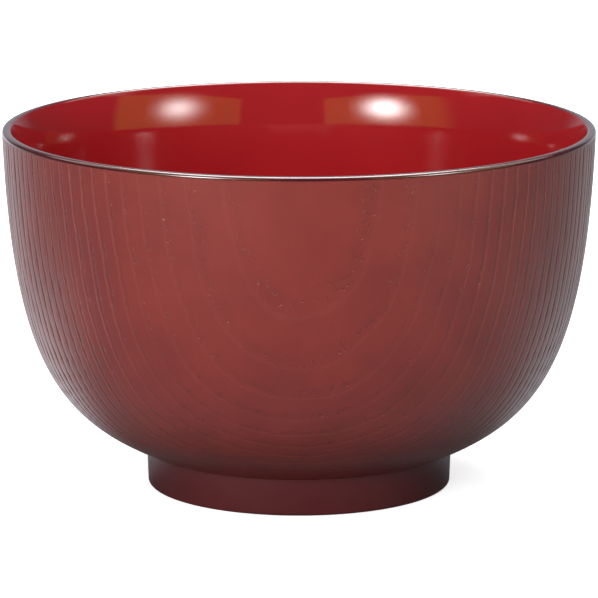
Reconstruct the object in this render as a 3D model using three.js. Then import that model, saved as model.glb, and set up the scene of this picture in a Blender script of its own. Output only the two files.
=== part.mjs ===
// A lacquered wooden rice bowl: one turned wood core with its foot ring, and the coats bonded onto it.
// Millimetres, +Z up. The origin is the centre of the flat face that the bowl stands on.
//
// The finished surface is one outline in (radius, height), turned about Z. Every coat is a shell between two
// depths under that outline, and the core is what is left beneath the deepest coat, so neighbouring solids
// share their surface exactly, as a coat and the thing it is brushed onto do.
import * as THREE from "three";

// Driving dimensions
const RIM_RADIUS = 57.5;
const HEIGHT = 70.5;
const LIP_OUTER_ROUND = 0.6;
const LIP_CREST_ROUND = 2.0;
const LIP_INNER_ROUND = 0.8;
const CREST_START_ANGLE = 75;
const CREST_END_ANGLE = 95;
const SHOULDER_RADIUS = 26;
const SHOULDER_TOP_TILT = 25.5;
const SHOULDER_LOW_TILT = 6.5;
const FOOT_TOP_RADIUS = 29.85;
const FOOT_TOP_Z = 7.2;
const FOOT_TAPER = 0.2;
const FOOT_RING_WIDTH = 3.4;
const FOOT_ROUND = 0.6;
const RECESS_Z = 5.2;
const RECESS_DRAFT = 0.4;
const RECESS_FILLET = 1.2;
const INNER_BOTTOM_Z = 10.4;

// Handles of the two wall curves, in (radius, height). The inner curve leaves the shoulder along its tangent,
// and its upper handle lies this far down that tangent.
const OUTER_UPPER_HANDLE = new THREE.Vector2(56.0, 23.9);
const OUTER_LOWER_HANDLE = new THREE.Vector2(46.8, 14.2);
const INNER_UPPER_REACH = 34;
const INNER_LOWER_HANDLE = new THREE.Vector2(46, INNER_BOTTOM_Z);

// Depths under the finished surface: a top coat everywhere, and a ground coat under it inside and on the foot,
// where the surface is filled smooth and shows no grain.
const TOP_COAT = 0.2;
const GROUND = 0.4;

// The dark band round the lip starts this far below the top outside, and ends at this angle of the inner round.
const BAND_DROP = 0.75;
const BAND_END_ANGLE = 130;

// How finely the curves are cut
const SEGMENTS = 36;
const WALL_STEPS = 10;
const ROUND_STEPS = 3;

const point = (radius, z) => new THREE.Vector2(radius, z);

// The unit vector at an angle from the radius, in degrees.
function direction(degrees) {
  const angle = THREE.MathUtils.degToRad(degrees);
  return point(Math.cos(angle), Math.sin(angle));
}

// Part of a circle about a centre, from one angle to another, in degrees.
function arc(centre, radius, from, to, steps = ROUND_STEPS) {
  return Array.from({ length: steps + 1 }, (_, i) =>
    centre.clone().addScaledVector(direction(from + ((to - from) * i) / steps), radius),
  );
}

// The centre of a round that carries on from another one at an angle, with no corner between them.
function nextCentre(centre, radius, degrees, nextRadius) {
  return centre.clone().addScaledVector(direction(degrees), radius - nextRadius);
}

// Points along the first share of a curve.
function curvePoints(curve, share = 1) {
  return Array.from({ length: WALL_STEPS + 1 }, (_, i) => curve.getPoint((share * i) / WALL_STEPS));
}

// The share of a climbing curve that lies below a height.
function shareBelow(curve, z) {
  let [low, high] = [0, 1];
  for (let i = 0; i < 40; i++) {
    const middle = (low + high) / 2;
    if (curve.getPoint(middle).y < z) low = middle;
    else high = middle;
  }
  return low;
}

// The finished outline, in named stretches: from the middle of the recess under the foot, round the foot ring,
// up the outside, over the lip and down to the middle of the inside.
function outlineStretches() {
  const faceOuter = FOOT_TOP_RADIUS - FOOT_TAPER;
  const faceInner = faceOuter - FOOT_RING_WIDTH;
  const recessRadius = faceInner - RECESS_DRAFT;
  const recessFilletZ = RECESS_Z - RECESS_FILLET;
  const footTop = point(FOOT_TOP_RADIUS, FOOT_TOP_Z);

  // The lip: an outer round, a flatter crest and an inner round, each running on into the next.
  const crestRise = (LIP_CREST_ROUND - LIP_OUTER_ROUND) * direction(CREST_START_ANGLE).y;
  const outerTop = point(RIM_RADIUS, HEIGHT - LIP_CREST_ROUND + crestRise);
  const outer = new THREE.CubicBezierCurve(footTop, OUTER_LOWER_HANDLE, OUTER_UPPER_HANDLE, outerTop);
  const outerRound = point(RIM_RADIUS - LIP_OUTER_ROUND, outerTop.y);
  const crest = nextCentre(outerRound, LIP_OUTER_ROUND, CREST_START_ANGLE, LIP_CREST_ROUND);
  const innerRound = nextCentre(crest, LIP_CREST_ROUND, CREST_END_ANGLE, LIP_INNER_ROUND);

  // Inside, a shoulder that bulges towards the hollow thins the lip and ends where the wall begins.
  const shoulderTop = 180 - SHOULDER_TOP_TILT;
  const shoulderLow = 180 - SHOULDER_LOW_TILT;
  const shoulderCentre = nextCentre(innerRound, LIP_INNER_ROUND, shoulderTop, SHOULDER_RADIUS);
  const shoulder = arc(shoulderCentre, SHOULDER_RADIUS, shoulderTop, shoulderLow);
  const innerTop = shoulder.at(-1);
  const innerHandle = innerTop.clone().addScaledVector(direction(shoulderLow + 90), INNER_UPPER_REACH);
  const innerBottom = point(0, INNER_BOTTOM_Z);
  const inner = new THREE.CubicBezierCurve(innerTop, innerHandle, INNER_LOWER_HANDLE, innerBottom);

  const outside = curvePoints(outer, shareBelow(outer, HEIGHT - BAND_DROP));
  return {
    recess: [
      point(0, RECESS_Z),
      ...arc(point(recessRadius - RECESS_FILLET, recessFilletZ), RECESS_FILLET, 90, 0),
    ],
    footRing: [
      point(recessRadius, recessFilletZ),
      ...arc(point(faceInner + FOOT_ROUND, FOOT_ROUND), FOOT_ROUND, 180, 270),
      ...arc(point(faceOuter - FOOT_ROUND, FOOT_ROUND), FOOT_ROUND, -90, 0),
      footTop,
    ],
    outside,
    lip: [
      outside.at(-1),
      ...arc(outerRound, LIP_OUTER_ROUND, 0, CREST_START_ANGLE),
      ...arc(crest, LIP_CREST_ROUND, CREST_START_ANGLE, CREST_END_ANGLE, 2).slice(1),
      ...arc(innerRound, LIP_INNER_ROUND, CREST_END_ANGLE, BAND_END_ANGLE, 2).slice(1),
    ],
    inside: [
      ...arc(innerRound, LIP_INNER_ROUND, BAND_END_ANGLE, shoulderTop, 2),
      ...shoulder.slice(1),
      ...curvePoints(inner).slice(1),
    ],
  };
}

// Joins the stretches into one run of stations. Each has its place and the step that carries it one millimetre
// into the material, mitred so that the segments on both sides of it move in parallel.
function joinStretches(stretches) {
  const stations = [];
  const spans = {};
  for (const [name, points] of Object.entries(stretches)) {
    const fresh = stations.length ? points.slice(1) : points;
    const first = Math.max(stations.length - 1, 0);
    stations.push(...fresh.map((at) => ({ at })));
    spans[name] = [first, stations.length - 1];
  }
  const inward = (from, to) => {
    const along = to.at.clone().sub(from.at).normalize();
    return point(-along.y, along.x);
  };
  for (let i = 1; i < stations.length - 1; i++) {
    const before = inward(stations[i - 1], stations[i]);
    const after = inward(stations[i], stations[i + 1]);
    stations[i].step = before.clone().add(after).divideScalar(1 + before.dot(after));
  }
  stations[0].step = point(0, 1);
  stations.at(-1).step = point(0, -1);
  return { stations, spans };
}

const { stations, spans } = joinStretches(outlineStretches());
const LAST_STATION = stations.length - 1;

// The outline from one station to another, moved that depth into the material.
function atDepth([first, last], depth) {
  return stations.slice(first, last + 1).map(({ at, step }) => at.clone().addScaledVector(step, depth));
}

// A solid of revolution about Z. The profile starts and ends on the axis, or ends where it started.
function turned(name, profile, material) {
  const geometry = new THREE.LatheGeometry(profile, SEGMENTS).rotateX(Math.PI / 2);
  const mesh = new THREE.Mesh(geometry, material);
  mesh.name = name;
  return mesh;
}

// A coat over the stretches from one name to another, between two depths.
function coat(name, [from, to], [top, bottom], material) {
  const span = [spans[from][0], spans[to][1]];
  const face = atDepth(span, top);
  const back = atDepth(span, bottom).reverse();
  const endsOnAxis = span[1] === LAST_STATION;
  const startsOnAxis = span[0] === 0;
  const profile = endsOnAxis ? [...back, ...face] : [...face, ...back];
  if (!startsOnAxis && !endsOnAxis) profile.push(face[0].clone());
  return turned(name, profile, material);
}

// The wood: under the ground coats on the foot and inside, and directly under the top coat between them.
function woodCore(material) {
  const foot = [spans.recess[0], spans.footRing[1]];
  const bare = [spans.outside[0], spans.lip[1]];
  const profile = [...atDepth(foot, GROUND), ...atDepth(bare, TOP_COAT), ...atDepth(spans.inside, GROUND)];
  return turned("wood_core", profile, material);
}

const finish = (color, roughness) => new THREE.MeshStandardMaterial({ color, roughness, metalness: 0 });
const wood = finish(0xb98a5c, 0.8);
const groundPaste = finish(0x5a4a3e, 0.9);
const vermilion = finish(0x9f1d21, 0.08);
const redBrown = finish(0x8b2b23, 0.4);
const darkRedBrown = finish(0x5d1f20, 0.35);
const darkRed = finish(0x501418, 0.2);

const TOP = [0, TOP_COAT];
const UNDER = [TOP_COAT, GROUND];

const bowl = new THREE.Group();
bowl.add(
  woodCore(wood),
  coat("inner_ground_coat", ["inside", "inside"], UNDER, groundPaste),
  coat("inner_lacquer_coat", ["inside", "inside"], TOP, vermilion),
  coat("rim_lacquer_band", ["lip", "lip"], TOP, darkRed),
  coat("outer_lacquer_coat", ["outside", "outside"], TOP, redBrown),
  coat("foot_ground_coat", ["recess", "footRing"], UNDER, groundPaste),
  coat("foot_ring_lacquer_coat", ["footRing", "footRing"], TOP, darkRedBrown),
  coat("foot_recess_lacquer_coat", ["recess", "recess"], TOP, darkRedBrown),
);

export default bowl;
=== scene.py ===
"""The finished look of a lacquered wooden rice bowl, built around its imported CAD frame.

The bowl is turned again from the CAD's outline, in the same eight solids, but finely enough to look round
and with the wood's growth layers showing in relief through the outside coat. The bowl's lengths are in
millimetres and are turned into metres when a mesh is made. The studio's are in metres.
"""

import math

import bpy
import numpy as np
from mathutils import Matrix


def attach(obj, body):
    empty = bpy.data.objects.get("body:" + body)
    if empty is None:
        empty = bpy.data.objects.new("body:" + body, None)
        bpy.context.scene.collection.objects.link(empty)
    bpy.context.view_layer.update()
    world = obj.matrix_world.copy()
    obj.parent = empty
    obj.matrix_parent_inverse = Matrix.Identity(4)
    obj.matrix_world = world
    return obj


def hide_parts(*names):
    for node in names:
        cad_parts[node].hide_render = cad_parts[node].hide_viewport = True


MM = 0.001

# The bowl's outline, the same as the CAD's
RIM_RADIUS = 57.5
HEIGHT = 70.5
LIP_OUTER_ROUND = 0.6
LIP_CREST_ROUND = 2.0
LIP_INNER_ROUND = 0.8
CREST_START_ANGLE = 75
CREST_END_ANGLE = 95
SHOULDER_RADIUS = 26.0
SHOULDER_TOP_TILT = 25.5
SHOULDER_LOW_TILT = 6.5
FOOT_TOP_RADIUS = 29.85
FOOT_TOP_Z = 7.2
FOOT_TAPER = 0.2
FOOT_RING_WIDTH = 3.4
FOOT_ROUND = 0.6
RECESS_Z = 5.2
RECESS_DRAFT = 0.4
RECESS_FILLET = 1.2
INNER_BOTTOM_Z = 10.4
OUTER_UPPER_HANDLE = (56.0, 23.9)
OUTER_LOWER_HANDLE = (46.8, 14.2)
INNER_UPPER_REACH = 34.0
INNER_LOWER_HANDLE = (46.0, INNER_BOTTOM_Z)
TOP_COAT = 0.2
GROUND = 0.4
BAND_DROP = 0.75
BAND_END_ANGLE = 130

# How finely it is turned
OUTSIDE_STEPS = 160
INSIDE_STEPS = 110
ROUND_STEPS = 8
SHOULDER_STEPS = 20
SEGMENTS = 192
OUTSIDE_SEGMENTS = 540
BACK_STEPS = 12
LOOKUP_STEPS = 4000

# Edges that bend more than this are drawn sharp, in degrees.
SHARP_ANGLE = 35

# The wood's flat growth layers, square to Y: where the first one lies, how far apart they are, and how they
# lean and waver. Each wave has a size, how fast it turns along X, Y and Z, and where it starts.
FIRST_LAYER = 56.3
LAYER_SPACING = 2.15
LAYER_DRIFT = 0.06
LAYER_DRIFT_RATE = 0.349
LAYER_TILT = 0.014
WAVES = (
    (0.28, (0.030, 0.0, 0.055), 1.0),
    (0.16, (-0.070, 0.02, 0.110), 0.4),
    (0.07, (0.230, 0.05, 0.310), 2.0),
)

# The surface is sunk this deep at the line between two layers and rises again over this share of a layer.
# The relief fades out over this length at the coat's edges.
RELIEF = 0.12
LINE_REACH = 0.25
EDGE_FADE = 1.0

# The grain is strong at the sides, where the layers are cut across, and this faint where they are cut along.
# The change runs between these two values of |Y| in the level direction from the axis.
CUT_ACROSS = 0.6
CUT_ALONG = 0.9
FAINT = 0.15

# The coats' colours, in linear RGB. Each wanders a little between two.
RED_BROWN = ((0.232, 0.021, 0.0155, 1), (0.285, 0.028, 0.019, 1))
VERMILION = ((0.32, 0.012, 0.0155, 1), (0.35, 0.0135, 0.017, 1))
FOOT_RED_BROWN = ((0.112, 0.018, 0.02, 1), (0.124, 0.02, 0.022, 1))
LIP_DARK_RED = ((0.075, 0.006, 0.008, 1), (0.1, 0.009, 0.011, 1))
PASTE = ((0.07, 0.045, 0.035, 1), (0.14, 0.1, 0.075, 1))

# The grain's marks in the outside coat: a dark groove and pits along each growth line, and a ridge with a
# painted glint beside it. Places and fades are shares of a layer, and each tint shows only in part.
GROOVE_FADE = (0.02, 0.13)
GROOVE_TINT = (0.09, 0.011, 0.011, 1)
GROOVE_SHOWS = 0.85
PIT_FADE = (0.05, 0.24)
PIT_TINT = (0.05, 0.009, 0.009, 1)
PIT_SHOWS = 0.4
RIDGE_PLACE = 0.2
RIDGE_FADE = (0.0, 0.07)
RIDGE_GLINT_TINT = (0.38, 0.12, 0.105, 1)
RIDGE_GLINT_SHOWS = 0.55

# The bare wood
EARLY_WOOD = (0.52, 0.28, 0.13, 1)
LATE_WOOD = (0.33, 0.15, 0.06, 1)
WOOD_FIBRE = (0.2, 0.09, 0.04, 1)

# The floor, in metres. It lies a hair below the bowl, so that the two faces don't share a plane.
FLOOR_RADIUS = 4.0
FLOOR_CORNERS = 96
FLOOR_GAP = 0.00005
FLOOR_WHITE = (0.9, 0.9, 0.9, 1)
FLOOR_GLOW = 0.75
FLOOR_BOUNCE = (0.1, 0.105, 0.115, 1)

# How bright the floor looks in the bowl's gloss, and how far from the axis that changes, in metres. It is
# lit behind the bowl and, close by, beside it, more at the left than at the right. A dim light lies over all
# of it, and it is in shadow under the bowl.
FLOOR_IN_GLOSS = (0.97, 1.0, 1.07, 1)
LIT_LEFT = 0.68
LIT_RIGHT = 0.31
BESIDE_REACH = (0.1, 0.25)
DIM_NEAR = 0.27
DIM_FAR = 0.15
DIM_REACH = (0.15, 0.5)
UNDER_BOWL = 0.3
CLEAR_OF_BOWL = 1.1
SHADOW_REACH = (0.036, 0.062)

# The room: a backdrop that only the gloss sees, and the light from everywhere else, which is weaker in the
# gloss than on the colours
BACKDROP = 0.3
ROOM_COLOUR = (0.92, 0.97, 1.06, 1)
ROOM_IN_GLOSS = 0.07
ROOM_ON_COLOURS = 0.25
WHITE = (1, 1, 1, 1)

# The camera: metres, degrees and, for the lens and sensor, millimetres
CAMERA_DISTANCE = 0.837
CAMERA_HEIGHT = 0.2092
CAMERA_PITCH = 11.68
CAMERA_REACH = 20
LENS = 263.2
SENSOR_WIDTH = 36

# The softboxes, in metres: a wide even spill, and a core just ahead of it that fades as a bell curve
SOFTBOX_SIZE = (1.21, 0.52)
SOFTBOX_DISTANCE = 0.95
SOFTBOX_HEIGHT = 0.418
CORE_SIZE = (0.56, 0.6)
CORE_SIGMA = (0.097, 0.107)
CORE_HEIGHT = 0.43
CORE_AHEAD = 0.005
SPILL_COLOUR = (0.98, 1.0, 0.14)

# The lights overhead, in metres: how high, how far behind the bowl's axis, and how long from front to back
CEILING_HEIGHT = 1.05
CEILING_BACK = 0.3
CEILING_DEPTH = 1.4


# ---------------------------------------------------------------- outline


def direction(degrees):
    """Unit vectors at angles from the radius."""
    angles = np.radians(degrees)
    return np.stack([np.cos(angles), np.sin(angles)], axis=-1)


def arc(centre, radius, start, end, steps=ROUND_STEPS):
    return centre + radius * direction(np.linspace(start, end, steps + 1))


def next_centre(centre, radius, degrees, next_radius):
    """The centre of a round that carries on from another one at an angle, with no corner between them."""
    return centre + (radius - next_radius) * direction(degrees)


def bezier(corners, steps, share=1.0):
    """Points along the first share of a cubic curve."""
    a, b, c, d = (np.array(corner) for corner in corners)
    t = np.linspace(0, share, steps + 1)[:, None]
    return (1 - t) ** 3 * a + 3 * (1 - t) ** 2 * t * b + 3 * (1 - t) * t**2 * c + t**3 * d


def share_below(corners, z):
    """The share of a climbing curve that lies below a height."""
    fine = bezier(corners, LOOKUP_STEPS)
    return float(np.interp(z, fine[:, 1], np.linspace(0, 1, len(fine))))


def outline_stretches():
    """From the middle of the recess under the foot, up the outside and down to the middle of the inside."""
    face_outer = FOOT_TOP_RADIUS - FOOT_TAPER
    face_inner = face_outer - FOOT_RING_WIDTH
    recess_radius = face_inner - RECESS_DRAFT
    recess_fillet_z = RECESS_Z - RECESS_FILLET
    foot_top = (FOOT_TOP_RADIUS, FOOT_TOP_Z)
    crest_rise = (LIP_CREST_ROUND - LIP_OUTER_ROUND) * direction(CREST_START_ANGLE)[1]
    outer_top = (RIM_RADIUS, HEIGHT - LIP_CREST_ROUND + crest_rise)
    outer = (foot_top, OUTER_LOWER_HANDLE, OUTER_UPPER_HANDLE, outer_top)
    outer_round = (RIM_RADIUS - LIP_OUTER_ROUND, outer_top[1])
    crest = next_centre(outer_round, LIP_OUTER_ROUND, CREST_START_ANGLE, LIP_CREST_ROUND)
    inner_round = next_centre(crest, LIP_CREST_ROUND, CREST_END_ANGLE, LIP_INNER_ROUND)
    shoulder_top = 180 - SHOULDER_TOP_TILT
    shoulder_low = 180 - SHOULDER_LOW_TILT
    shoulder_centre = next_centre(inner_round, LIP_INNER_ROUND, shoulder_top, SHOULDER_RADIUS)
    shoulder = arc(shoulder_centre, SHOULDER_RADIUS, shoulder_top, shoulder_low, SHOULDER_STEPS)
    inner_handle = shoulder[-1] + INNER_UPPER_REACH * direction(shoulder_low + 90)
    inner = (shoulder[-1], inner_handle, INNER_LOWER_HANDLE, (0, INNER_BOTTOM_Z))
    outside = bezier(outer, OUTSIDE_STEPS, share_below(outer, HEIGHT - BAND_DROP))
    return {
        "recess": np.vstack(
            [
                [(0, RECESS_Z)],
                arc((recess_radius - RECESS_FILLET, recess_fillet_z), RECESS_FILLET, 90, 0),
            ]
        ),
        "foot_ring": np.vstack(
            [
                [(recess_radius, recess_fillet_z)],
                arc((face_inner + FOOT_ROUND, FOOT_ROUND), FOOT_ROUND, 180, 270),
                arc((face_outer - FOOT_ROUND, FOOT_ROUND), FOOT_ROUND, -90, 0),
                [foot_top],
            ]
        ),
        "outside": outside,
        "lip": np.vstack(
            [
                outside[-1:],
                arc(outer_round, LIP_OUTER_ROUND, 0, CREST_START_ANGLE),
                arc(crest, LIP_CREST_ROUND, CREST_START_ANGLE, CREST_END_ANGLE)[1:],
                arc(inner_round, LIP_INNER_ROUND, CREST_END_ANGLE, BAND_END_ANGLE)[1:],
            ]
        ),
        "inside": np.vstack(
            [
                arc(inner_round, LIP_INNER_ROUND, BAND_END_ANGLE, shoulder_top),
                shoulder[1:],
                bezier(inner, INSIDE_STEPS)[1:],
            ]
        ),
    }


class Outline:
    """The stretches joined into one run of places, each with the step that leads one millimetre inwards."""

    def __init__(self, stretches):
        places = []
        self.spans = {}
        for name, points in stretches.items():
            first = max(len(places) - 1, 0)
            places.extend(points[1:] if places else points)
            self.spans[name] = (first, len(places) - 1)
        self.places = np.array(places)
        along = np.diff(self.places, axis=0)
        along /= np.linalg.norm(along, axis=1)[:, None]
        inward = np.column_stack([-along[:, 1], along[:, 0]])
        before, after = inward[:-1], inward[1:]
        mitre = (before + after) / (1 + (before * after).sum(1))[:, None]
        self.steps = np.vstack([[(0, 1)], mitre, [(0, -1)]])

    def at_depth(self, first, last, depth):
        return self.places[first : last + 1] + self.steps[first : last + 1] * depth

    def coat(self, first_stretch, last_stretch, top, bottom):
        """A coat's closed profile between two depths, and whether it closes on the axis."""
        first = self.spans[first_stretch][0]
        last = self.spans[last_stretch][1]
        face = self.at_depth(first, last, top)
        back = self.at_depth(first, last, bottom)[::-1]
        if last == len(self.places) - 1:
            return np.vstack([back, face]), True
        return np.vstack([face, back]), first == 0

    def core(self):
        foot = (self.spans["recess"][0], self.spans["foot_ring"][1])
        bare = (self.spans["outside"][0], self.spans["lip"][1])
        parts = [
            self.at_depth(*foot, GROUND),
            self.at_depth(*bare, TOP_COAT),
            self.at_depth(*self.spans["inside"], GROUND),
        ]
        return np.vstack(parts), True


# ---------------------------------------------------------------- meshes


def turn(profile, on_axis, segments):
    """Corner points and faces of a closed profile turned about Z. The faces point outwards."""
    angles = np.linspace(0, 2 * np.pi, segments, endpoint=False)
    rings = profile[1:-1] if on_axis else profile
    x = rings[:, :1] * np.cos(angles)
    y = rings[:, :1] * np.sin(angles)
    z = np.repeat(rings[:, 1:], segments, axis=1)
    verts = np.stack([x, y, z], axis=2).reshape(-1, 3)
    here = np.arange(segments)
    there = (here + 1) % segments
    count = len(rings)
    rows = range(count - 1 if on_axis else count)
    faces = []
    for row in rows:
        low = row * segments
        high = ((row + 1) % count) * segments
        faces.append(np.column_stack([low + here, low + there, high + there, high + here]))
    faces = np.vstack(faces).tolist()
    if on_axis:
        bottom, top = len(verts), len(verts) + 1
        verts = np.vstack([verts, [(0, 0, profile[0, 1])], [(0, 0, profile[-1, 1])]])
        last = (count - 1) * segments
        faces += np.column_stack([np.full(segments, bottom), there, here]).tolist()
        faces += np.column_stack([last + here, last + there, np.full(segments, top)]).tolist()
    return verts, faces


def make_piece(name, verts, faces, material, slot, *nodes):
    mesh = bpy.data.meshes.new(name)
    mesh.from_pydata((verts * MM).tolist(), [], faces)
    mesh.materials.append(material)
    mesh.shade_smooth()
    mesh.set_sharp_from_angle(angle=math.radians(SHARP_ANGLE))
    mesh.update()
    piece = bpy.data.objects.new(name, mesh)
    bpy.context.scene.collection.objects.link(piece)
    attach(piece, "root")
    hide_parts(*nodes)
    return piece


def layer_number(x, y, z):
    """Which growth layer a point of the wood is in. Whole numbers are the lines between two years."""
    depth = FIRST_LAYER + y + LAYER_TILT * (z - HEIGHT)
    for size, rate, phase in WAVES:
        depth = depth + size * np.sin(rate[0] * x + rate[1] * y + rate[2] * z + phase)
    return depth / LAYER_SPACING - LAYER_DRIFT * np.sin(LAYER_DRIFT_RATE * depth)


def relief_depth(x, y, z):
    """How far the surface is sunk at a growth line, in millimetres."""
    share = layer_number(x, y, z) % 1.0
    distance = np.minimum(share, 1 - share)
    along = np.clip((np.abs(y) / np.hypot(x, y) - CUT_ACROSS) / (CUT_ALONG - CUT_ACROSS), 0, 1)
    strength = 1 + (FAINT - 1) * along
    return RELIEF * strength * np.clip(1 - distance / LINE_REACH, 0, 1) ** 2


def open_grained_shell(outline):
    """The outside coat: its face follows the grain, and its back is plain."""
    first, last = outline.spans["outside"]
    face = outline.at_depth(first, last, 0)
    steps = outline.steps[first : last + 1]
    coarse = np.linspace(0, last - first, BACK_STEPS + 1).round().astype(int)
    back = outline.at_depth(first, last, TOP_COAT)[coarse][::-1]
    verts, faces = turn(np.vstack([face, back]), False, OUTSIDE_SEGMENTS)
    shown = len(face) * OUTSIDE_SEGMENTS
    x, y, z = verts[:shown].T
    row = np.arange(shown) // OUTSIDE_SEGMENTS
    along = np.concatenate([[0], np.cumsum(np.linalg.norm(np.diff(face, axis=0), axis=1))])
    edge = np.minimum(along, along[-1] - along)[row]
    depth = relief_depth(x, y, z) * np.clip(edge / EDGE_FADE, 0, 1)
    radius = np.hypot(x, y)
    verts[:shown, 0] += depth * steps[row, 0] * x / radius
    verts[:shown, 1] += depth * steps[row, 0] * y / radius
    verts[:shown, 2] += depth * steps[row, 1]
    return verts, faces


# ---------------------------------------------------------------- materials


class Nodes:
    """Short hand for building a node tree."""

    def __init__(self, tree):
        self.tree = tree
        tree.nodes.clear()

    def add(self, kind, **settings):
        node = self.tree.nodes.new(kind)
        for key, value in settings.items():
            setattr(node, key, value)
        return node

    def feed(self, socket, value):
        if isinstance(value, bpy.types.NodeSocket):
            self.tree.links.new(value, socket)
        else:
            socket.default_value = value

    def math(self, operation, a, b=0.0):
        node = self.add("ShaderNodeMath", operation=operation)
        self.feed(node.inputs[0], a)
        self.feed(node.inputs[1], b)
        return node.outputs[0]

    def ramp(self, value, low, high, to_low=0.0, to_high=1.0):
        """Goes smoothly from to_low to to_high while value goes from low to high."""
        node = self.add("ShaderNodeMapRange", interpolation_type="SMOOTHSTEP")
        for socket, number in zip(node.inputs, (value, low, high, to_low, to_high), strict=False):
            self.feed(socket, number)
        return node.outputs[0]

    def mix(self, share, a, b):
        node = self.add("ShaderNodeMix", data_type="RGBA")
        self.feed(node.inputs[0], share)
        self.feed(node.inputs[6], a)
        self.feed(node.inputs[7], b)
        return node.outputs[2]

    def noise(self, vector, scale, detail=2.0, roughness=0.5):
        node = self.add("ShaderNodeTexNoise")
        self.feed(node.inputs["Vector"], vector)
        self.feed(node.inputs["Scale"], scale)
        self.feed(node.inputs["Detail"], detail)
        self.feed(node.inputs["Roughness"], roughness)
        return node.outputs["Fac"]

    def millimetres(self, stretch=(1, 1, 1)):
        """The object's own coordinates in millimetres."""
        place = self.add("ShaderNodeTexCoord").outputs["Object"]
        return self.vector_math("MULTIPLY", place, [s / MM for s in stretch])

    def vector_math(self, operation, a, b=(0, 0, 0)):
        node = self.add("ShaderNodeVectorMath", operation=operation)
        self.feed(node.inputs[0], a)
        self.feed(node.inputs[1], b)
        return node.outputs[0]

    def dot(self, a, b):
        node = self.add("ShaderNodeVectorMath", operation="DOT_PRODUCT")
        self.feed(node.inputs[0], a)
        self.feed(node.inputs[1], b)
        return node.outputs["Value"]

    def bump(self, height, distance, normal=None):
        node = self.add("ShaderNodeBump")
        self.feed(node.inputs["Distance"], distance)
        self.feed(node.inputs["Height"], height)
        if normal is not None:
            self.feed(node.inputs["Normal"], normal)
        return node.outputs[0]


def new_material(name):
    material = bpy.data.materials.new(name)
    material.use_nodes = True
    nodes = Nodes(material.node_tree)
    shader = nodes.add("ShaderNodeBsdfPrincipled")
    output = nodes.add("ShaderNodeOutputMaterial")
    nodes.feed(output.inputs["Surface"], shader.outputs[0])
    return material, nodes, shader


def layer_number_nodes(nodes, place):
    """The same as layer_number, in nodes, with a fine tremble added to the lines."""
    depth = nodes.dot(place, (0, 1, LAYER_TILT))
    depth = nodes.math("ADD", depth, FIRST_LAYER - LAYER_TILT * HEIGHT)
    for size, rate, phase in WAVES:
        angle = nodes.math("ADD", nodes.dot(place, rate), phase)
        wave = nodes.math("SINE", angle)
        depth = nodes.math("ADD", depth, nodes.math("MULTIPLY", wave, size))
    drift = nodes.math("SINE", nodes.math("MULTIPLY", depth, LAYER_DRIFT_RATE))
    number = nodes.math("DIVIDE", depth, LAYER_SPACING)
    number = nodes.math("SUBTRACT", number, nodes.math("MULTIPLY", drift, LAYER_DRIFT))
    tremble = nodes.math("SUBTRACT", nodes.noise(place, 0.35, detail=1.0), 0.5)
    return nodes.math("ADD", number, nodes.math("MULTIPLY", tremble, 0.12))


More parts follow.
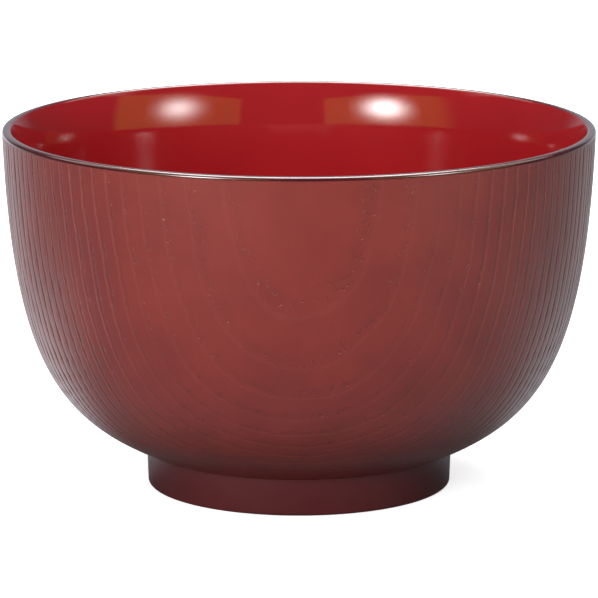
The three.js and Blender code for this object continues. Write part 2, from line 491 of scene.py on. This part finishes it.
def open_grained_lacquer():
    """A satin coat with open grain: grooves and pits along the growth lines, ridges with a painted glint."""
    material, nodes, shader = new_material("red_brown_open_grain")
    place = nodes.millimetres()
    number = layer_number_nodes(nodes, place)
    share = nodes.math("FRACT", number)
    line_distance = nodes.math("MINIMUM", share, nodes.math("SUBTRACT", 1.0, share))
    line = nodes.ramp(line_distance, *GROOVE_FADE, 1.0, 0.0)
    ridge_distance = nodes.math("ABSOLUTE", nodes.math("SUBTRACT", share, RIDGE_PLACE))
    ridge = nodes.ramp(ridge_distance, *RIDGE_FADE, 1.0, 0.0)

    # A groove comes and goes along its line, and pits lie in a belt along it.
    broken = nodes.ramp(nodes.noise(nodes.millimetres((1, 1, 0.35)), 0.16), 0.42, 0.62)
    groove = nodes.math("MULTIPLY", line, nodes.math("ADD", nodes.math("MULTIPLY", broken, 0.6), 0.4))
    pit_noise = nodes.noise(nodes.millimetres((1, 1, 0.6)), 1.5, detail=1.0)
    pit_belt = nodes.ramp(line_distance, *PIT_FADE, 1.0, 0.0)
    pit = nodes.math("MULTIPLY", nodes.ramp(pit_noise, 0.6, 0.68), pit_belt)

    # All of it is fainter where the layers are cut along, and the pits least so.
    outwards = nodes.vector_math("NORMALIZE", nodes.vector_math("MULTIPLY", place, (1, 1, 0)))
    along = nodes.math("ABSOLUTE", nodes.dot(outwards, (0, 1, 0)))
    strength = nodes.ramp(along, CUT_ACROSS, CUT_ALONG, 1.0, FAINT)
    ridge = nodes.math("MULTIPLY", ridge, strength)
    groove = nodes.math("MULTIPLY", groove, strength)
    pit = nodes.math("MULTIPLY", pit, nodes.ramp(along, CUT_ACROSS, CUT_ALONG, 1.0, 0.6))

    mottle = nodes.noise(place, 0.09, detail=5.0, roughness=0.65)
    colour = nodes.mix(nodes.ramp(mottle, 0.3, 0.7), *RED_BROWN)
    # The ridges' lighter pinkish-grey tint is a painted glint; their relief below is real bump.
    colour = nodes.mix(nodes.math("MULTIPLY", ridge, RIDGE_GLINT_SHOWS), colour, RIDGE_GLINT_TINT)
    colour = nodes.mix(nodes.math("MULTIPLY", groove, GROOVE_SHOWS), colour, GROOVE_TINT)
    colour = nodes.mix(nodes.math("MULTIPLY", pit, PIT_SHOWS), colour, PIT_TINT)
    nodes.feed(shader.inputs["Base Color"], colour)

    film = nodes.noise(place, 0.6, detail=4.0, roughness=0.6)
    roughness = nodes.ramp(film, 0.2, 0.8, 0.45, 0.55)
    roughness = nodes.math("ADD", roughness, nodes.math("MULTIPLY", groove, 0.12))
    nodes.feed(shader.inputs["Roughness"], roughness)

    height = nodes.math("SUBTRACT", ridge, groove)
    height = nodes.math("SUBTRACT", height, nodes.math("MULTIPLY", pit, 0.8))
    nodes.feed(shader.inputs["Coat Weight"], 1.0)
    nodes.feed(shader.inputs["Coat Roughness"], 0.3)
    fine = nodes.bump(nodes.noise(place, 2.2, detail=3.0, roughness=0.6), 0.02 * MM)
    relief = nodes.bump(height, 0.11 * MM, normal=fine)
    nodes.feed(shader.inputs["Normal"], relief)
    nodes.feed(shader.inputs["Coat Normal"], relief)
    return material


def smooth_lacquer(name, colours, roughness, ripple):
    """A brushed or sprayed coat over filled wood: even, with a faint ripple in its gloss."""
    material, nodes, shader = new_material(name)
    place = nodes.millimetres()
    cloud = nodes.noise(place, 0.04)
    nodes.feed(shader.inputs["Base Color"], nodes.mix(nodes.ramp(cloud, 0.3, 0.7), *colours))
    film = nodes.noise(place, 0.5, detail=3.0)
    nodes.feed(shader.inputs["Roughness"], nodes.ramp(film, 0.2, 0.8, *roughness))
    nodes.feed(shader.inputs["Normal"], nodes.bump(nodes.noise(place, 0.35), ripple * MM))
    return material


def bare_wood():
    """The wood under the coats, with its growth layers and fibres."""
    material, nodes, shader = new_material("turned_wood")
    place = nodes.millimetres()
    share = nodes.math("FRACT", layer_number_nodes(nodes, place))
    late_wood = nodes.ramp(share, 0.55, 0.98)
    fibre = nodes.noise(nodes.millimetres((1, 1, 0.08)), 1.2, detail=4.0, roughness=0.6)
    colour = nodes.mix(late_wood, EARLY_WOOD, LATE_WOOD)
    colour = nodes.mix(nodes.ramp(fibre, 0.55, 0.75, 0, 0.5), colour, WOOD_FIBRE)
    nodes.feed(shader.inputs["Base Color"], colour)
    nodes.feed(shader.inputs["Roughness"], nodes.ramp(fibre, 0.2, 0.8, 0.6, 0.8))
    nodes.feed(shader.inputs["Normal"], nodes.bump(fibre, 0.05 * MM))
    return material


def ground_paste():
    """The gritty filler under the smooth coats."""
    material, nodes, shader = new_material("ground_paste")
    place = nodes.millimetres()
    grit = nodes.noise(place, 3.0, detail=4.0, roughness=0.7)
    nodes.feed(shader.inputs["Base Color"], nodes.mix(grit, *PASTE))
    nodes.feed(shader.inputs["Roughness"], nodes.ramp(grit, 0.2, 0.8, 0.75, 0.95))
    nodes.feed(shader.inputs["Normal"], nodes.bump(grit, 0.02 * MM))
    return material


def lip_lacquer():
    """Dark lacquer wiped round the lip. Its gloss is a little uneven, as wiped lacquer's is."""
    material, nodes, shader = new_material("dark_lip_lacquer")
    place = nodes.millimetres()
    worn = nodes.ramp(nodes.noise(place, 0.25, detail=3.0, roughness=0.6), 0.45, 0.75)
    nodes.feed(shader.inputs["Base Color"], nodes.mix(worn, *LIP_DARK_RED))
    nodes.feed(shader.inputs["Roughness"], nodes.ramp(worn, 0.0, 1.0, 0.16, 0.24))
    nodes.feed(shader.inputs["Coat Weight"], 1.0)
    nodes.feed(shader.inputs["Coat Roughness"], 0.1)
    nodes.feed(shader.inputs["Normal"], nodes.bump(nodes.noise(place, 0.9), 0.02 * MM))
    return material


# ---------------------------------------------------------------- stage, lights and camera


def floor_in_reflections(nodes):
    """How bright the floor looks in the bowl's gloss."""
    place = nodes.add("ShaderNodeTexCoord").outputs["Object"]
    reach = nodes.math("SQRT", nodes.dot(nodes.vector_math("MULTIPLY", place, place), (1, 1, 0)))
    back = nodes.math("DIVIDE", nodes.dot(place, (0, 1, 0)), reach)
    right = nodes.math("DIVIDE", nodes.dot(place, (1, 0, 0)), reach)
    gain = nodes.ramp(right, -0.3, 0.3, LIT_LEFT, LIT_RIGHT)
    close_by = nodes.ramp(reach, *BESIDE_REACH, 1.0, 0.0)
    beside = nodes.math("MULTIPLY", close_by, nodes.ramp(back, -0.2, 0.3))
    level = nodes.math("MULTIPLY", nodes.math("MAXIMUM", nodes.ramp(back, 0.2, 1.0), beside), gain)
    level = nodes.math("ADD", level, nodes.ramp(reach, *DIM_REACH, DIM_NEAR, DIM_FAR))
    return nodes.math("MULTIPLY", level, nodes.ramp(reach, *SHADOW_REACH, UNDER_BOWL, CLEAR_OF_BOWL))


def pale_floor():
    """A large pale disc. It looks white to the camera but throws only a little light up at the bowl."""
    mesh = bpy.data.meshes.new("floor")
    angles = np.linspace(0, 2 * np.pi, FLOOR_CORNERS, endpoint=False)
    corners = [(FLOOR_RADIUS * math.cos(a), FLOOR_RADIUS * math.sin(a), 0) for a in angles]
    mesh.from_pydata(corners, [], [list(range(len(corners)))])
    floor = bpy.data.objects.new("floor", mesh)
    bpy.context.scene.collection.objects.link(floor)
    material = bpy.data.materials.new("floor")
    material.use_nodes = True
    nodes = Nodes(material.node_tree)
    path = nodes.add("ShaderNodeLightPath")
    white = nodes.add("ShaderNodeBsdfDiffuse")
    nodes.feed(white.inputs["Color"], FLOOR_WHITE)
    glow = nodes.add("ShaderNodeEmission")
    nodes.feed(glow.inputs["Strength"], FLOOR_GLOW)
    seen = nodes.add("ShaderNodeAddShader")
    nodes.feed(seen.inputs[0], white.outputs[0])
    nodes.feed(seen.inputs[1], glow.outputs[0])
    dim = nodes.add("ShaderNodeBsdfDiffuse")
    nodes.feed(dim.inputs["Color"], FLOOR_BOUNCE)
    mirrored = nodes.add("ShaderNodeEmission")
    nodes.feed(mirrored.inputs["Color"], FLOOR_IN_GLOSS)
    nodes.feed(mirrored.inputs["Strength"], floor_in_reflections(nodes))
    unseen = nodes.add("ShaderNodeMixShader")
    nodes.feed(unseen.inputs[0], path.outputs["Is Diffuse Ray"])
    nodes.feed(unseen.inputs[1], mirrored.outputs[0])
    nodes.feed(unseen.inputs[2], dim.outputs[0])
    choice = nodes.add("ShaderNodeMixShader")
    nodes.feed(choice.inputs[0], path.outputs["Is Camera Ray"])
    nodes.feed(choice.inputs[1], unseen.outputs[0])
    nodes.feed(choice.inputs[2], seen.outputs[0])
    nodes.feed(nodes.add("ShaderNodeOutputMaterial").inputs[0], choice.outputs[0])
    mesh.materials.append(material)
    floor.location.z = -FLOOR_GAP


def studio_world():
    """A pale backdrop behind the bowl in a dim room. The camera itself sees only white."""
    world = bpy.data.worlds.new("studio_world")
    bpy.context.scene.world = world
    world.use_nodes = True
    nodes = Nodes(world.node_tree)
    towards = nodes.add("ShaderNodeTexCoord").outputs["Generated"]
    path = nodes.add("ShaderNodeLightPath")
    behind = nodes.ramp(nodes.dot(towards, (0, 1, 0)), 0.75, 0.95)
    low = nodes.ramp(nodes.dot(towards, (0, 0, 1)), 0.3, 0.6, 1.0, 0.0)
    on_colours = path.outputs["Is Diffuse Ray"]
    backdrop = nodes.math("MULTIPLY", nodes.math("MULTIPLY", behind, low), BACKDROP)
    backdrop = nodes.math("MULTIPLY", backdrop, nodes.math("SUBTRACT", 1.0, on_colours))
    room = nodes.ramp(on_colours, 0, 1, ROOM_IN_GLOSS, ROOM_ON_COLOURS)
    seen = path.outputs["Is Camera Ray"]
    background = nodes.add("ShaderNodeBackground")
    nodes.feed(background.inputs["Color"], nodes.mix(seen, ROOM_COLOUR, WHITE))
    strength = nodes.math("MAXIMUM", nodes.math("ADD", backdrop, room), seen)
    nodes.feed(background.inputs["Strength"], strength)
    nodes.feed(nodes.add("ShaderNodeOutputWorld").inputs[0], background.outputs[0])


def area_light(name, size, colour=(1, 1, 1)):
    """A rectangular light whose radiance is what its nodes give, the nodes, and where to feed it."""
    light = bpy.data.lights.new(name, "AREA")
    light.shape = "RECTANGLE"
    light.size, light.size_y = size
    light.energy = math.pi * size[0] * size[1]
    light.color = colour
    light.use_nodes = True
    nodes = Nodes(light.node_tree)
    emission = nodes.add("ShaderNodeEmission")
    nodes.feed(nodes.add("ShaderNodeOutputLight").inputs[0], emission.outputs[0])
    return light, nodes, emission.inputs["Strength"]


def hang(light, azimuth, distance, height, tilt=0.0):
    """A light at a height, upright or tilted down at the bowl. Azimuth is to the right of the camera."""
    around = math.radians(azimuth)
    lamp = bpy.data.objects.new(light.name, light)
    bpy.context.scene.collection.objects.link(lamp)
    lamp.location = (distance * math.sin(around), -distance * math.cos(around), height)
    lamp.rotation_euler = (math.radians(90 - tilt), 0, around)
    lamp.visible_camera = False
    return lamp


def softbox(name, azimuth, spill, edges, core_azimuth, core):
    """An upright softbox at the front: an even yellowish spill, and a bright core with soft edges."""
    light, nodes, strength = area_light(name + "_spill", SOFTBOX_SIZE, SPILL_COLOUR)
    place = nodes.add("ShaderNodeNewGeometry").outputs["Parametric"]
    across = nodes.dot(place, (1, 0, 0))
    near, far = edges
    edge = nodes.math("MULTIPLY", nodes.ramp(across, 0, near), nodes.ramp(across, 1 - far, 1, 1, 0))
    nodes.feed(strength, nodes.math("MULTIPLY", edge, spill))
    hang(light, azimuth, SOFTBOX_DISTANCE, SOFTBOX_HEIGHT).visible_diffuse = False
    light, nodes, strength = area_light(name + "_core", CORE_SIZE)
    place = nodes.add("ShaderNodeNewGeometry").outputs["Parametric"]
    from_centre = nodes.vector_math("SUBTRACT", place, (0.5, 0.5, 0))
    sigmas = (CORE_SIZE[0] / CORE_SIGMA[0], CORE_SIZE[1] / CORE_SIGMA[1], 0)
    from_centre = nodes.vector_math("MULTIPLY", from_centre, sigmas)
    falloff = nodes.math("EXPONENT", nodes.math("MULTIPLY", nodes.dot(from_centre, from_centre), -0.5))
    nodes.feed(strength, nodes.math("MULTIPLY", falloff, core))
    hang(light, core_azimuth, SOFTBOX_DISTANCE - CORE_AHEAD, CORE_HEIGHT).visible_diffuse = False


def ceiling(name, side, width, radiance, colour):
    """A wide soft light overhead, seen only in the gloss and fading out towards the camera."""
    light, nodes, strength = area_light(name, (width, CEILING_DEPTH), colour)
    place = nodes.add("ShaderNodeNewGeometry").outputs["Parametric"]
    nodes.feed(strength, nodes.ramp(nodes.dot(place, (0, 1, 0)), 0.0, 0.4, 0.0, radiance))
    lamp = hang(light, 0, -CEILING_BACK, CEILING_HEIGHT, 90)
    lamp.location[0] = side
    lamp.visible_diffuse = False


def fill(name, azimuth, distance, height, tilt, size, radiance):
    """A light that only brightens colours and isn't seen in the gloss."""
    light, nodes, strength = area_light(name, size)
    nodes.feed(strength, radiance)
    hang(light, azimuth, distance, height, tilt).visible_glossy = False


def studio():
    studio_world()
    ceiling("ceiling", side=0.0, width=0.9, radiance=8.0, colour=(1, 1, 1))
    ceiling("ceiling_left", side=-1.1, width=1.3, radiance=1.4, colour=(1, 0.97, 0.85))
    ceiling("ceiling_right", side=1.1, width=1.3, radiance=1.4, colour=(1, 0.97, 0.85))
    fill("key", azimuth=-20, distance=1.0, height=0.35, tilt=17, size=(0.4, 0.4), radiance=13.6)
    fill("high", azimuth=0, distance=0.6, height=0.9, tilt=55, size=(0.5, 0.4), radiance=4.8)
    fill("right", azimuth=75, distance=0.7, height=0.9, tilt=50, size=(0.4, 0.4), radiance=2.2)
    fill("back", azimuth=180, distance=0.6, height=1.0, tilt=90, size=(1.0, 0.8), radiance=5.2)
    softbox("left", azimuth=-42.8, spill=0.72, edges=(0.25, 0.04), core_azimuth=-39.0, core=36.0)
    softbox("right", azimuth=57.6, spill=0.68, edges=(0.04, 0.1), core_azimuth=55.3, core=17.0)


def camera():
    data = bpy.data.cameras.new("camera")
    data.lens = LENS
    data.sensor_width = SENSOR_WIDTH
    data.clip_end = CAMERA_REACH
    eye = bpy.data.objects.new("camera", data)
    eye.location = (0, -CAMERA_DISTANCE, CAMERA_HEIGHT)
    eye.rotation_euler = (math.radians(90 - CAMERA_PITCH), 0, 0)
    bpy.context.scene.collection.objects.link(eye)
    bpy.context.scene.camera = eye


# ---------------------------------------------------------------- the bowl


def bowl():
    outline = Outline(outline_stretches())
    wood = bare_wood()
    paste = ground_paste()
    open_grain = open_grained_lacquer()
    vermilion = smooth_lacquer("vermilion_gloss", VERMILION, roughness=(0.05, 0.07), ripple=0.01)
    foot_coat = smooth_lacquer("dark_red_brown_smooth", FOOT_RED_BROWN, roughness=(0.3, 0.38), ripple=0.02)
    lip = lip_lacquer()

    def coat(name, stretches, depths, material, slot):
        profile, on_axis = outline.coat(*stretches, *depths)
        make_piece(name + "_finish", *turn(profile, on_axis, SEGMENTS), material, slot, name)

    top = (0, TOP_COAT)
    under = (TOP_COAT, GROUND)
    profile, on_axis = outline.core()
    make_piece("wood_core_finish", *turn(profile, on_axis, SEGMENTS), wood, "turned_wood", "wood_core")
    coat("inner_ground_coat", ("inside", "inside"), under, paste, "ground_paste")
    coat("inner_lacquer_coat", ("inside", "inside"), top, vermilion, "vermilion_lacquer")
    coat("rim_lacquer_band", ("lip", "lip"), top, lip, "dark_lacquer")
    coat("foot_ground_coat", ("recess", "foot_ring"), under, paste, "ground_paste")
    coat("foot_ring_lacquer_coat", ("foot_ring", "foot_ring"), top, foot_coat, "dark_red_brown_lacquer")
    coat("foot_recess_lacquer_coat", ("recess", "recess"), top, foot_coat, "dark_red_brown_lacquer")
    verts, faces = open_grained_shell(outline)
    make_piece(
        "outer_lacquer_coat_finish", verts, faces, open_grain, "red_brown_lacquer", "outer_lacquer_coat"
    )


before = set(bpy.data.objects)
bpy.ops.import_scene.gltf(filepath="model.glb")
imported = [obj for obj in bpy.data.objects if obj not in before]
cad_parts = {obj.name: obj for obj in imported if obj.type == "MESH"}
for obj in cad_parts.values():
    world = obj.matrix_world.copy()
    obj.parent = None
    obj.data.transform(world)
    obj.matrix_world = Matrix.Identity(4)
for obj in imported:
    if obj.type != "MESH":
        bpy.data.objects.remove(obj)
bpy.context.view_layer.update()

bowl()
pale_floor()
studio()
camera()
bpy.context.scene.view_settings.view_transform = "Standard"
